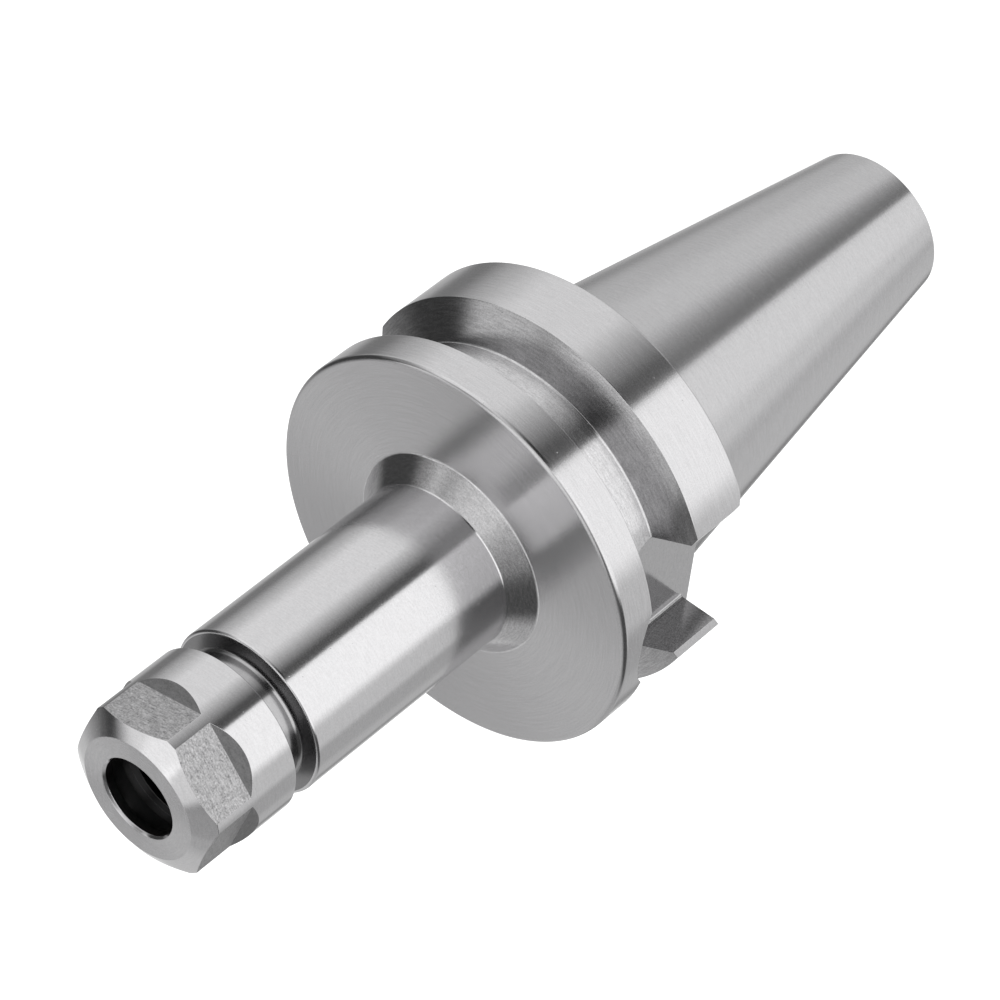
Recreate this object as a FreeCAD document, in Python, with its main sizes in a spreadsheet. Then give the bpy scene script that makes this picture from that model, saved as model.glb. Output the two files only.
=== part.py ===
import FreeCAD, Part
import math
import os
import Sketcher

# A collet chuck holder for a milling spindle, standing on the small end of its taper.
# +Z runs along the tool axis from the taper to the nut. The origin is on the axis at the
# gauge line, where the taper has its nominal diameter. The drive slots face +X and -X.
# All lengths are in millimetres and all angles in degrees.

SIZES = [
    ("gauge_dia", 31.75, "diameter of the taper at the gauge line"),
    ("taper_rise", 7, "the taper narrows by this much in diameter"),
    ("taper_run", 24, "over this much length"),
    ("taper_length", 48.4, "gauge line to small end"),
    ("taper_end_chamfer", 0.5, "edge break at the small end"),
    ("stud_pilot_dia", 12.5, "plain pilot of the pull stud hole"),
    ("stud_pilot_depth", 7, "depth of the pilot"),
    ("stud_mouth_chamfer", 0.8, "countersink of the pilot, on the radius"),
    ("stud_tap_dia", 10.2, "tapping drill of the pull stud thread"),
    ("stud_hole_depth", 34, "depth of the tapped hole from the small end"),
    ("drill_point_angle", 118, "included angle at the bottom of the tapped hole"),
    ("through_bore_dia", 7, "bore that joins the stud hole and the collet socket"),
    ("flange_dia", 46, "outside diameter of the flange"),
    ("flange_back", 2, "gauge line to the back face of the flange"),
    ("flange_thickness", 20, "back face to front face"),
    ("flange_back_chamfer", 0.4, "edge break of the back face"),
    ("flange_front_chamfer", 0.6, "edge break of the front face"),
    ("groove_centre", 13.6, "gauge line to the middle of the V-groove"),
    ("groove_width", 8, "width of the V-groove at the outside diameter"),
    ("groove_floor_dia", 38, "diameter at the floor of the V-groove"),
    ("groove_angle", 60, "included angle of the V-groove"),
    ("slot_width", 16.1, "width of a drive slot"),
    ("slot_floor", 16.3, "tool axis to the floor of a drive slot"),
    ("slot_end", 19.5, "gauge line to the round end of a drive slot"),
    ("slot_count", 2, "drive slots round the flange"),
    ("slot_corner_radius", 0.5, "fillet between floor and walls"),
    ("slot_edge_chamfer", 0.8, "edge break along the mouth of a slot"),
    ("slot_lead_in", 1.3, "height of the slopes where a slot opens in the back face"),
    ("slot_lead_in_width", 2.6, "width of each slope on the back face"),
    ("shank_dia", 19, "diameter of the round shank"),
    ("shank_end", 52.3, "gauge line to the shoulder of the shank"),
    ("shank_edge_radius", 0.35, "edge radius of the shoulder"),
    ("shank_root_cone", 2.3, "leg of the cone where the shank meets the flange"),
    ("neck_dia", 14.4, "neck between the shoulder and the nose thread"),
    ("neck_length", 2.6, "length of the neck"),
    ("neck_fillet", 0.5, "fillet between neck and shoulder"),
    ("thread_dia", 13.5, "nose thread at its pitch diameter"),
    ("thread_clearance", 0.05, "radial play between nose thread and nut"),
    ("nose_length", 10, "shoulder to the end of the nose"),
    ("nose_chamfer", 0.5, "edge break at the end of the nose"),
    ("socket_mouth_dia", 11, "mouth of the tapered collet socket"),
    ("socket_half_angle", 8, "slope of the socket wall against the axis"),
    ("socket_relief_dia", 7.6, "plain bore behind the tapered socket"),
    ("socket_depth", 20, "nose end to the bottom of the plain bore"),
    ("nut_dia", 19, "outside diameter of the nut"),
    ("nut_length", 12.3, "back face to front face of the nut"),
    ("nut_back_chamfer", 0.1, "edge break at the back of the nut"),
    ("nut_face_dia", 14.1, "flat ring at the front of the nut"),
    ("nut_cone_angle", 30, "slope of the front cone against the front face"),
    ("nut_flats", 6, "number of flats"),
    ("nut_across_flats", 17, "distance across two flats"),
    ("nut_flat_length", 6.1, "front face to the end of a flat"),
    ("nut_runout", 1.2, "height of the slope behind a flat, up to the round"),
    ("nut_turn", 43, "turn of the nut about the axis in the photograph"),
    ("nut_mouth_dia", 8.9, "round mouth of the nut"),
    ("nut_mouth_length", 1.2, "length of the mouth"),
    ("nut_mouth_chamfer", 0.25, "edge break of the mouth"),
    ("nut_seat_dia", 11.6, "wide end of the cone that presses the collet"),
    ("nut_seat_half_angle", 30, "slope of that cone against the axis"),
    ("nut_lip_depth", 5.1, "front face to the back of the pulling lip"),
    ("nut_lip_thickness", 0.8, "thickness of the pulling lip"),
    ("nut_lip_dia", 10.2, "hole in the pulling lip"),
    ("nut_lip_offset", 0.55, "how far that hole is off centre"),
    ("nut_thread_countersink", 0.4, "countersink at the back of the nut thread"),
    ("home_clearance", 0.3, "nose end to pulling lip with the nut run on"),
    ("cutter_overrun", 2, "how far a cut is drawn past the surface it starts from"),
]

# Radii and heights that more than one outline uses.
GAUGE_R = "Sizes.gauge_dia / 2"
FLANGE_R = "Sizes.flange_dia / 2"
SHANK_R = "Sizes.shank_dia / 2"
NECK_R = "Sizes.neck_dia / 2"
THREAD_R = "Sizes.thread_dia / 2"
BORE_R = "Sizes.through_bore_dia / 2"
NUT_R = "Sizes.nut_dia / 2"
MOUTH_R = "Sizes.nut_mouth_dia / 2"
NUT_THREAD_R = "(Sizes.thread_dia / 2 + Sizes.thread_clearance)"
TAPER_SLOPE = "(Sizes.taper_rise / Sizes.taper_run / 2)"
SMALL_R = f"({GAUGE_R} - Sizes.taper_length * {TAPER_SLOPE})"
SMALL_END = "(-Sizes.taper_length)"
FLANGE_FRONT = "(Sizes.flange_back + Sizes.flange_thickness)"
NOSE_END = "(Sizes.shank_end + Sizes.nose_length)"
OVERRUN = "Sizes.cutter_overrun"

doc = FreeCAD.newDocument("collet_chuck_holder")


def make_sheet():
    sheet = doc.addObject("Spreadsheet::Sheet", "Sizes")
    for row, (alias, value, meaning) in enumerate(SIZES, start=1):
        sheet.set(f"A{row}", meaning)
        sheet.set(f"B{row}", str(value))
        sheet.setAlias(f"B{row}", alias)
    doc.recompute()
    return sheet


sheet = make_sheet()


def value_of(expression):
    result = sheet.evalExpression(expression)
    return float(getattr(result, "Value", result))


def origin_part(body, role):
    return next(item for item in body.Origin.OriginFeatures if item.Role == role)


def new_body(name):
    body = doc.addObject("PartDesign::Body", name)
    body.Label = name
    return body


def new_sketch(body, name, plane):
    sketch = body.newObject("Sketcher::SketchObject", name)
    sketch.AttachmentSupport = [(origin_part(body, plane), "")]
    sketch.MapMode = "FlatFace"
    return sketch


def pin_point(sketch, geometry, end, x, y):
    """Hold one point of a sketch at two expressions, counted from the origin."""
    for kind, expression, axis in (("DistanceX", x, -2), ("DistanceY", y, -1)):
        if expression == "0":
            sketch.addConstraint(Sketcher.Constraint("PointOnObject", geometry, end, axis))
            continue
        rule = Sketcher.Constraint(kind, -1, 1, geometry, end, value_of(expression))
        number = sketch.addConstraint(rule)
        sketch.setExpression(f"Constraints[{number}]", expression)


def draw_outline(sketch, corners):
    """Draw a closed outline. A corner is (x, y), and (x, y, centre_x, centre_y) where an arc
    about that centre, counter-clockwise, leads on to the next corner."""
    here = [FreeCAD.Vector(value_of(c[0]), value_of(c[1]), 0) for c in corners]
    for number, corner in enumerate(corners):
        start = here[number]
        end = here[(number + 1) % len(corners)]
        if len(corner) == 2:
            sketch.addGeometry(Part.LineSegment(start, end), False)
            continue
        centre = FreeCAD.Vector(value_of(corner[2]), value_of(corner[3]), 0)
        circle = Part.Circle(centre, FreeCAD.Vector(0, 0, 1), (start - centre).Length)
        arc = Part.ArcOfCircle(circle, circle.parameter(start), circle.parameter(end))
        sketch.addGeometry(arc, False)
    for number, corner in enumerate(corners):
        following = (number + 1) % len(corners)
        join = Sketcher.Constraint("Coincident", number, 2, following, 1)
        sketch.addConstraint(join)
        pin_point(sketch, number, 1, corner[0], corner[1])
        if len(corner) == 4:
            rule = Sketcher.Constraint("DistanceY", -1, 1, number, 3, value_of(corner[3]))
            index = sketch.addConstraint(rule)
            sketch.setExpression(f"Constraints[{index}]", corner[3])


def turn(body, kind, name, corners):
    """Revolve an outline, drawn as radius and height, round the tool axis."""
    sketch = new_sketch(body, name + "_outline", "XZ_Plane")
    draw_outline(sketch, corners)
    feature = body.newObject(kind, name)
    feature.Profile = sketch
    feature.ReferenceAxis = (sketch, ["V_Axis"])
    feature.Angle = 360
    doc.recompute()
    return feature


def repeat_round_axis(body, name, feature, count):
    pattern = body.newObject("PartDesign::PolarPattern", name)
    pattern.Originals = [feature]
    pattern.Axis = (origin_part(body, "Z_Axis"), [""])
    pattern.Angle = 360
    pattern.setExpression("Occurrences", count)
    body.Tip = pattern
    doc.recompute()
    return pattern


def dress_edges(body, kind, name, size_property, expression, wanted):
    """Fillet or chamfer every edge of the body so far whose edge passes the test."""
    base = body.Tip
    names = [f"Edge{i}" for i, edge in enumerate(base.Shape.Edges, start=1) if wanted(edge)]
    if not names:
        raise RuntimeError(name + " found no edge")
    feature = body.newObject(kind, name)
    feature.Base = (base, names)
    feature.setExpression(size_property, expression)
    doc.recompute()
    return feature


def near(a, b):
    return abs(a - b) < 0.001


def make_holder_body():
    body = new_body("holder_body")

    edge_low = "Sizes.shank_end - Sizes.shank_edge_radius"
    edge_in = f"{SHANK_R} - Sizes.shank_edge_radius"
    turn(body, "PartDesign::Revolution", "turned_blank", [
        ("0", SMALL_END),
        (f"{SMALL_R} - Sizes.taper_end_chamfer", SMALL_END),
        (f"{SMALL_R} + Sizes.taper_end_chamfer * {TAPER_SLOPE}",
         f"{SMALL_END} + Sizes.taper_end_chamfer"),
        (GAUGE_R, "0"),
        (GAUGE_R, "Sizes.flange_back"),
        (f"{FLANGE_R} - Sizes.flange_back_chamfer", "Sizes.flange_back"),
        (FLANGE_R, "Sizes.flange_back + Sizes.flange_back_chamfer"),
        (FLANGE_R, f"{FLANGE_FRONT} - Sizes.flange_front_chamfer"),
        (f"{FLANGE_R} - Sizes.flange_front_chamfer", FLANGE_FRONT),
        (f"{SHANK_R} + Sizes.shank_root_cone", FLANGE_FRONT),
        (SHANK_R, f"{FLANGE_FRONT} + Sizes.shank_root_cone"),
        (SHANK_R, edge_low, edge_in, edge_low),
        (edge_in, "Sizes.shank_end"),
        (NECK_R, "Sizes.shank_end"),
        (NECK_R, "Sizes.shank_end + Sizes.neck_length"),
        (THREAD_R, f"Sizes.shank_end + Sizes.neck_length + {NECK_R} - {THREAD_R}"),
        (THREAD_R, f"{NOSE_END} - Sizes.nose_chamfer"),
        (f"{THREAD_R} - Sizes.nose_chamfer", NOSE_END),
        ("0", NOSE_END),
    ])

    # The V-groove that a tool changer's gripper holds.
    floor_r = "Sizes.groove_floor_dia / 2"
    spread = "tan(Sizes.groove_angle / 2 * 1deg)"
    half_floor = f"(Sizes.groove_width / 2 - ({FLANGE_R} - {floor_r}) * {spread})"
    half_mouth = f"(Sizes.groove_width / 2 + {OVERRUN} * {spread})"
    turn(body, "PartDesign::Groove", "gripper_groove", [
        (floor_r, f"Sizes.groove_centre - {half_floor}"),
        (f"{FLANGE_R} + {OVERRUN}", f"Sizes.groove_centre - {half_mouth}"),
        (f"{FLANGE_R} + {OVERRUN}", f"Sizes.groove_centre + {half_mouth}"),
        (floor_r, f"Sizes.groove_centre + {half_floor}"),
    ])

    # The stepped hole for the pull stud, from the small end.
    pilot_r = "Sizes.stud_pilot_dia / 2"
    tap_r = "Sizes.stud_tap_dia / 2"
    sink = "Sizes.stud_mouth_chamfer"
    hole_bottom = f"{SMALL_END} + Sizes.stud_hole_depth"
    point = f"{tap_r} / tan(Sizes.drill_point_angle / 2 * 1deg)"
    turn(body, "PartDesign::Groove", "stud_hole", [
        ("0", f"{SMALL_END} - {OVERRUN}"),
        (f"{pilot_r} + {sink} + {OVERRUN}", f"{SMALL_END} - {OVERRUN}"),
        (pilot_r, f"{SMALL_END} + {sink}"),
        (pilot_r, f"{SMALL_END} + Sizes.stud_pilot_depth"),
        (tap_r, f"{SMALL_END} + Sizes.stud_pilot_depth"),
        (tap_r, hole_bottom),
        ("0", f"{hole_bottom} + {point}"),
    ])

    # The collet socket: an 8 degree cone, a plain relief and the bore through to the stud hole.
    mouth_r = "Sizes.socket_mouth_dia / 2"
    relief_r = "Sizes.socket_relief_dia / 2"
    rise = "tan(Sizes.socket_half_angle * 1deg)"
    turn(body, "PartDesign::Groove", "collet_socket", [
        ("0", f"{NOSE_END} - Sizes.socket_depth"),
        (relief_r, f"{NOSE_END} - Sizes.socket_depth"),
        (relief_r, f"{NOSE_END} - ({mouth_r} - {relief_r}) / {rise}"),
        (f"{mouth_r} + {OVERRUN} * {rise}", f"{NOSE_END} + {OVERRUN}"),
        ("0", f"{NOSE_END} + {OVERRUN}"),
    ])
    turn(body, "PartDesign::Groove", "through_bore", [
        ("0", hole_bottom),
        (BORE_R, hole_bottom),
        (BORE_R, f"{NOSE_END} - Sizes.socket_depth"),
        ("0", f"{NOSE_END} - Sizes.socket_depth"),
    ])

    # Two drive slots, milled from the back face with an end mill that points at the axis, so
    # that each ends in a half circle inside the front land.
    half = "Sizes.slot_width / 2"
    arc_height = f"(Sizes.slot_end - {half})"
    sketch = new_sketch(body, "drive_slot_outline", "YZ_Plane")
    sketch.setExpression(".AttachmentOffset.Base.z", "Sizes.slot_floor")
    draw_outline(sketch, [
        (f"-{half}", f"Sizes.flange_back - {OVERRUN}"),
        (half, f"Sizes.flange_back - {OVERRUN}"),
        (half, arc_height, "0", arc_height),
        (f"-{half}", arc_height),
    ])
    slot = body.newObject("PartDesign::Pocket", "drive_slot")
    slot.Profile = sketch
    slot.Reversed = True
    slot.setExpression("Length", FLANGE_R)
    doc.recompute()
    repeat_round_axis(body, "drive_slots", slot, "Sizes.slot_count")

    floor_x = value_of("Sizes.slot_floor")
    wall_y = value_of(half)
    mouth_x = math.sqrt(value_of(FLANGE_R) ** 2 - wall_y ** 2)
    back = value_of("Sizes.flange_back")

    def on_slot_floor(edge):
        box = edge.BoundBox
        flat = near(box.XMin, box.XMax) and near(abs(box.XMin), floor_x)
        return flat and box.ZMax - box.ZMin > 1

    def on_slot_mouth(edge):
        box = edge.BoundBox
        straight = near(box.YMin, box.YMax) and near(box.XMin, box.XMax)
        at_wall = near(abs(box.YMin), wall_y) and near(abs(box.XMin), mouth_x)
        return straight and at_wall and box.ZMin > back

    dress_edges(body, "PartDesign::Fillet", "slot_corner_fillets", "Radius",
                "Sizes.slot_corner_radius", on_slot_floor)
    dress_edges(body, "PartDesign::Chamfer", "slot_mouth_chamfers", "Size",
                "Sizes.slot_edge_chamfer", on_slot_mouth)

    # The walls of a slot open out where they meet the back face, which leads a drive key in.
    lead = "Sizes.slot_lead_in"
    wide = f"({half} + Sizes.slot_lead_in_width * (1 + {OVERRUN} / {lead}))"
    sketch = new_sketch(body, "slot_lead_in_outline", "YZ_Plane")
    sketch.setExpression(".AttachmentOffset.Base.z", "Sizes.slot_floor")
    draw_outline(sketch, [
        (f"-{wide}", f"Sizes.flange_back - {OVERRUN}"),
        (wide, f"Sizes.flange_back - {OVERRUN}"),
        (half, f"Sizes.flange_back + {lead}"),
        (f"-{half}", f"Sizes.flange_back + {lead}"),
    ])
    opening = body.newObject("PartDesign::Pocket", "slot_lead_in")
    opening.Profile = sketch
    opening.Reversed = True
    opening.setExpression("Length", FLANGE_R)
    doc.recompute()
    repeat_round_axis(body, "slot_lead_ins", opening, "Sizes.slot_count")

    shoulder = value_of("Sizes.shank_end")
    neck_r = value_of(NECK_R)

    def at_neck_root(edge):
        box = edge.BoundBox
        level = near(box.ZMin, shoulder) and near(box.ZMax, shoulder)
        return level and near(box.XMax, neck_r)

    dress_edges(body, "PartDesign::Fillet", "neck_root_fillet", "Radius",
                "Sizes.neck_fillet", at_neck_root)
    return body


def make_clamping_nut():
    # The nut is drawn from its own back face, then placed on the nose.
    body = new_body("clamping_nut")
    front = "Sizes.nut_length"
    face_r = "Sizes.nut_face_dia / 2"
    cone_drop = f"({NUT_R} - {face_r}) * tan(Sizes.nut_cone_angle * 1deg)"
    turn(body, "PartDesign::Revolution", "nut_blank", [
        ("0", "0"),
        (f"{NUT_R} - Sizes.nut_back_chamfer", "0"),
        (NUT_R, "Sizes.nut_back_chamfer"),
        (NUT_R, f"{front} - {cone_drop}"),
        (face_r, front),
        ("0", front),
    ])

    # Thread, pulling lip, pressing cone and mouth, from the back to the front.
    lip_back = f"({front} - Sizes.nut_lip_depth)"
    lip_front = f"({lip_back} + Sizes.nut_lip_thickness)"
    seat_r = "Sizes.nut_seat_dia / 2"
    seat_front = f"({front} - Sizes.nut_mouth_length)"
    seat_back = f"({seat_front} - ({seat_r} - {MOUTH_R}) / tan(Sizes.nut_seat_half_angle * 1deg))"
    sink = "Sizes.nut_thread_countersink"
    turn(body, "PartDesign::Groove", "nut_thread_bore", [
        ("0", f"-{OVERRUN}"),
        (f"{NUT_THREAD_R} + {sink} + {OVERRUN}", f"-{OVERRUN}"),
        (NUT_THREAD_R, sink),
        (NUT_THREAD_R, lip_back),
        ("0", lip_back),
    ])
    turn(body, "PartDesign::Groove", "collet_seat", [
        ("0", lip_front),
        (seat_r, lip_front),
        (seat_r, seat_back),
        (MOUTH_R, seat_front),
        (MOUTH_R, f"{front} - Sizes.nut_mouth_chamfer"),
        (f"{MOUTH_R} + Sizes.nut_mouth_chamfer + {OVERRUN}", f"{front} + {OVERRUN}"),
        ("0", f"{front} + {OVERRUN}"),
    ])

    lip = new_sketch(body, "pulling_lip_outline", "XY_Plane")
    lip.setExpression(".AttachmentOffset.Base.z", lip_back)
    radius = value_of("Sizes.nut_lip_dia / 2")
    centre = FreeCAD.Vector(value_of("Sizes.nut_lip_offset"), 0, 0)
    lip.addGeometry(Part.Circle(centre, FreeCAD.Vector(0, 0, 1), radius), False)
    pin_point(lip, 0, 3, "Sizes.nut_lip_offset", "0")
    width = lip.addConstraint(Sketcher.Constraint("Radius", 0, radius))
    lip.setExpression(f"Constraints[{width}]", "Sizes.nut_lip_dia / 2")
    hole = body.newObject("PartDesign::Pocket", "pulling_lip_hole")
    hole.Profile = lip
    hole.Reversed = True
    hole.setExpression("Length", "Sizes.nut_lip_thickness")
    doc.recompute()

    # One flat with the slope that the cutter leaves behind it, repeated round the nut.
    flat = "Sizes.nut_across_flats / 2"
    flat_end = f"({front} - Sizes.nut_flat_length)"
    slope = f"Sizes.nut_runout / ({NUT_R} - {flat})"
    outside = f"({NUT_R} + {OVERRUN})"
    sketch = new_sketch(body, "flat_outline", "XZ_Plane")
    draw_outline(sketch, [
        (outside, f"{front} + {OVERRUN}"),
        (flat, f"{front} + {OVERRUN}"),
        (flat, flat_end),
        (outside, f"{flat_end} - ({outside} - {flat}) * {slope}"),
    ])
    cut = body.newObject("PartDesign::Pocket", "flat")
    cut.Profile = sketch
    cut.SideType = "Symmetric"
    cut.setExpression("Length", "Sizes.nut_dia * 2")
    doc.recompute()
    repeat_round_axis(body, "flats", cut, "Sizes.nut_flats")

    body.setExpression(".Placement.Base.z",
                       f"{NOSE_END} + Sizes.home_clearance + Sizes.nut_lip_depth - {front}")
    body.Placement = FreeCAD.Placement(body.Placement.Base,
                                       FreeCAD.Rotation(FreeCAD.Vector(0, 0, 1), 1))
    body.setExpression(".Placement.Rotation.Angle", "Sizes.nut_turn * 1deg")
    doc.recompute()
    return body


subparts = [make_holder_body(), make_clamping_nut()]
doc.recompute()

for item in doc.Objects:
    if "Invalid" in item.State or "Error" in item.State:
        raise RuntimeError(f"{item.Label} failed: {item.State}")

os.makedirs("parts", exist_ok=True)
for subpart in subparts:
    shape = subpart.Shape
    if shape.isNull() or not shape.isValid() or len(shape.Solids) != 1:
        raise RuntimeError(subpart.Label + " has no sound shape")
    shape.exportStep(f"parts/{subpart.Label}.step")
    box = shape.optimalBoundingBox()
    print(f"{subpart.Label}: {shape.Volume:.1f} mm3, "
          f"x {box.XMin:.2f} to {box.XMax:.2f}, z {box.ZMin:.2f} to {box.ZMax:.2f}")
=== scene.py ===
# %% [markdown]
# # A collet chuck holder, finished in Blender
#
# The real object is a tool holder for a milling spindle. It is two pieces of steel: a long body that
# is turned, milled and ground from one bar, and a small nut that screws onto its nose. The packed
# model already holds both at their true size, standing on the small end of the taper, with +Z along
# the tool axis. This lesson models them again with finer edges and real threads, gives each region
# the finish that its machining leaves, darkens the bores, the V-groove's flank, the slot walls, the
# shoulder and the neck as painted shade, and lights them as a studio would.

# %% Load the imported model as a fixed frame
import math

import bmesh
import bpy
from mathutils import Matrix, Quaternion, Vector


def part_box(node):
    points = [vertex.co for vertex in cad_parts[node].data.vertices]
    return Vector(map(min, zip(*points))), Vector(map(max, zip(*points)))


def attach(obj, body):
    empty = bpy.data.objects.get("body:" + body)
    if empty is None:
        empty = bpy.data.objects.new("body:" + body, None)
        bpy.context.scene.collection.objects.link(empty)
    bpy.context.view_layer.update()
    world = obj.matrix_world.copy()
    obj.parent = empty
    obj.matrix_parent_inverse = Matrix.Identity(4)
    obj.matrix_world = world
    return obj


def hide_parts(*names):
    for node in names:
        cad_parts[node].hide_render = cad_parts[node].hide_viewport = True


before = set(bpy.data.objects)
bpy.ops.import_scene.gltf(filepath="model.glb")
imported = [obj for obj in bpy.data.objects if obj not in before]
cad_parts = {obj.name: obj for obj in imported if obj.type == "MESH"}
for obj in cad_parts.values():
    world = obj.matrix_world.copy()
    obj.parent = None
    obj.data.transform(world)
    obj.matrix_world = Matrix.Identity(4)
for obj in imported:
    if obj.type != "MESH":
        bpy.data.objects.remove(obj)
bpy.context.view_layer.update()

# %% [markdown]
# ## Sizes
#
# Lengths are written in millimetres, because that is how a machinist reads them, and brought to
# metres at the end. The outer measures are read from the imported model, so the finished pieces can't
# drift from it. The rest repeats the sizes that the model was drawn from.

# %% Driving sizes, in millimetres
MM = 0.001
body_low, body_high = (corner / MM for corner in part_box("holder_body"))
nut_low, nut_high = (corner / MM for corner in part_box("clamping_nut"))

SMALL_END = body_low.z
NOSE_END = body_high.z
FLANGE_R = body_high.x
NUT_BACK = nut_low.z
NUT_FACE = nut_high.z

GAUGE_R = 15.875
TAPER_SLOPE = 7 / 48
SMALL_R = GAUGE_R + SMALL_END * TAPER_SLOPE
TAPER_END_CHAMFER = 0.12
FLANGE_BACK = 2.0
FLANGE_FRONT = 22.0
BACK_CHAMFER = 0.4
RIM_RADIUS = 0.6
GROOVE_CENTRE = 13.6
GROOVE_HALF = 4.0
GROOVE_FLOOR_R = 19.0
GROOVE_FLANK = math.radians(30)
SHANK_R = 9.5
SHANK_END = 52.3
SHOULDER_RADIUS = 0.35
ROOT_CONE = 2.3
NECK_R = 7.2
NECK_END = 54.9
NECK_FILLET = 0.5
print(f"body from {SMALL_END:.1f} to {NOSE_END:.1f} mm, nut from {NUT_BACK:.1f} to {NUT_FACE:.1f} mm")

# %% [markdown]
# ## The camera
#
# The photograph looks down on the standing part from about 34 degrees, and the camera is rolled, so
# that the nut points to the lower left. The lens is long and stands close, which keeps a little
# perspective. The camera comes first, so that each later step can be checked against it.

# %% Place the camera
CAMERA_AIM = Vector((-1.02, 0.57, 13.14)) * MM
CAMERA_AZIMUTH = math.radians(60.78)
CAMERA_ELEVATION = math.radians(34.156)
CAMERA_ROLL = math.radians(-127.99)
CAMERA_DISTANCE = 470.15 * MM
LENS = 164.7
NEAR_CLIP = 10 * MM


def direction(azimuth, elevation):
    """The unit vector that points to an azimuth, counted from +X, and an elevation."""
    flat = math.cos(elevation)
    return Vector((flat * math.cos(azimuth), flat * math.sin(azimuth), math.sin(elevation)))


back = direction(CAMERA_AZIMUTH, CAMERA_ELEVATION)
turn = (-back).to_track_quat("-Z", "Y") @ Quaternion((0, 0, 1), CAMERA_ROLL)
bpy.ops.object.camera_add(location=CAMERA_AIM + back * CAMERA_DISTANCE, rotation=turn.to_euler())
camera = bpy.context.object
camera.name = "photo_camera"
camera.data.lens = LENS
camera.data.clip_start = NEAR_CLIP
bpy.context.scene.camera = camera
bpy.context.scene.view_settings.view_transform = "Standard"
print("camera at", [round(x, 3) for x in camera.location])

# %% [markdown]
# ## Working in edit mode
#
# Every operator acts on what is selected, so each piece starts from an empty selection. A few
# helpers keep that in one place. Modelling is done with one Blender unit to the millimetre, because
# the booleans that cut threads work to a fixed tolerance, and the finished mesh is scaled once. A
# hair is the slack that is left when two places are compared.

# %% Helpers for modelling
HAIR = 0.01
ALONG_AXIS = 0.9


def pick(piece):
    """In object mode, select one piece and nothing else."""
    bpy.ops.object.select_all(action="DESELECT")
    piece.select_set(True)
    bpy.context.view_layer.objects.active = piece


def start_piece(name):
    """Name the primitive that was just added, and open it with all of it selected."""
    piece = bpy.context.object
    piece.name = name
    piece.data.name = name
    bpy.ops.object.transform_apply(location=True, rotation=True, scale=True)
    bpy.ops.object.mode_set(mode="EDIT")
    bpy.ops.mesh.select_all(action="SELECT")
    return piece


def close_piece():
    """Leave edit mode."""
    bpy.ops.object.mode_set(mode="OBJECT")


def select_only(piece, kind, wanted):
    """In edit mode, select the verts, edges or faces that pass a test, and nothing else."""
    bpy.ops.mesh.select_all(action="DESELECT")
    mode = {"verts": "VERT", "edges": "EDGE", "faces": "FACE"}[kind]
    bpy.ops.mesh.select_mode(type=mode)
    mesh = bmesh.from_edit_mesh(piece.data)
    found = [item for item in getattr(mesh, kind) if wanted(item)]
    for item in found:
        item.select_set(True)
    mesh.select_flush_mode()
    bmesh.update_edit_mesh(piece.data)
    return len(found)


def apply_modifier(piece, kind, **settings):
    """Add a modifier with its settings and apply it at once."""
    pick(piece)
    modifier = piece.modifiers.new(kind.lower(), kind)
    for setting, value in settings.items():
        setattr(modifier, setting, value)
    bpy.ops.object.modifier_apply(modifier=modifier.name)


def cut(piece, cutter):
    """Take the cutter's shape out of the piece, then throw the cutter away."""
    before = len(piece.data.polygons)
    apply_modifier(piece, "BOOLEAN", operation="DIFFERENCE", object=cutter, solver="EXACT")
    print(f"{cutter.name} cut: {before} faces before, {len(piece.data.polygons)} after")
    bpy.data.objects.remove(cutter)


# %% [markdown]
# ## Turning on a lathe
#
# Both pieces are turned, so each starts as a circle at one corner of its outline. The circle is
# extruded and resized from corner to corner, out, up, in and down again, until it meets itself.
# Spinning a half outline would do the same, but this way every ring lies at a known height and
# radius. A lathe tool never leaves a perfect corner, so an outline's corner may have a small radius,
# and that thin round edge is what catches the light on the real steel.

# %% Helpers for turned outlines
TURNED_SIDES = 288
ARC_STEPS = 6
MERGE_RINGS = 0.002


def rounded(corners):
    """Corners are (radius, height) or (radius, height, edge radius). Returns plain points."""
    points = []
    count = len(corners)
    for number, corner in enumerate(corners):
        here = Vector(corner[:2])
        if len(corner) == 2:
            points.append(here)
            continue
        before = (Vector(corners[number - 1][:2]) - here).normalized()
        after = (Vector(corners[(number + 1) % count][:2]) - here).normalized()
        half_turn = before.angle(after) / 2
        reach = corner[2] / math.tan(half_turn)
        middle = (before + after).normalized()
        centre = here + middle * (corner[2] / math.sin(half_turn))
        start = here + before * reach - centre
        end = here + after * reach - centre
        sweep = start.angle_signed(end)
        for step in range(ARC_STEPS + 1):
            angle = -sweep * step / ARC_STEPS
            turned = Vector((start.x * math.cos(angle) - start.y * math.sin(angle),
                             start.x * math.sin(angle) + start.y * math.cos(angle)))
            points.append(centre + turned)
    return points


def turn_piece(name, corners):
    """Make a closed turned mesh from the outline of its section."""
    points = rounded(corners)
    first = points[0]
    bpy.ops.object.select_all(action="DESELECT")
    bpy.ops.mesh.primitive_circle_add(vertices=TURNED_SIDES, radius=first.x, location=(0, 0, first.y))
    piece = start_piece(name)
    here = first
    for there in points[1:] + [first]:
        bpy.ops.mesh.extrude_edges_move(TRANSFORM_OT_translate={"value": (0, 0, there.y - here.y)})
        widen = there.x / here.x
        bpy.ops.transform.resize(value=(widen, widen, 1), center_override=(0, 0, there.y))
        here = there
    bpy.ops.mesh.select_all(action="SELECT")
    bpy.ops.mesh.remove_doubles(threshold=MERGE_RINGS)
    bpy.ops.mesh.normals_make_consistent(inside=False)
    close_piece()
    print(f"{name}: {len(points)} rings of {TURNED_SIDES} points")
    return piece


# %% [markdown]
# ## The holder body: the turned blank
#
# The outline runs from the pull stud hole at the small end, up the outside over taper, flange,
# shank and nose, and back down through the collet socket and the bore. The nose is drawn at the
# outside diameter of its thread, which is cut later.

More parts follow.
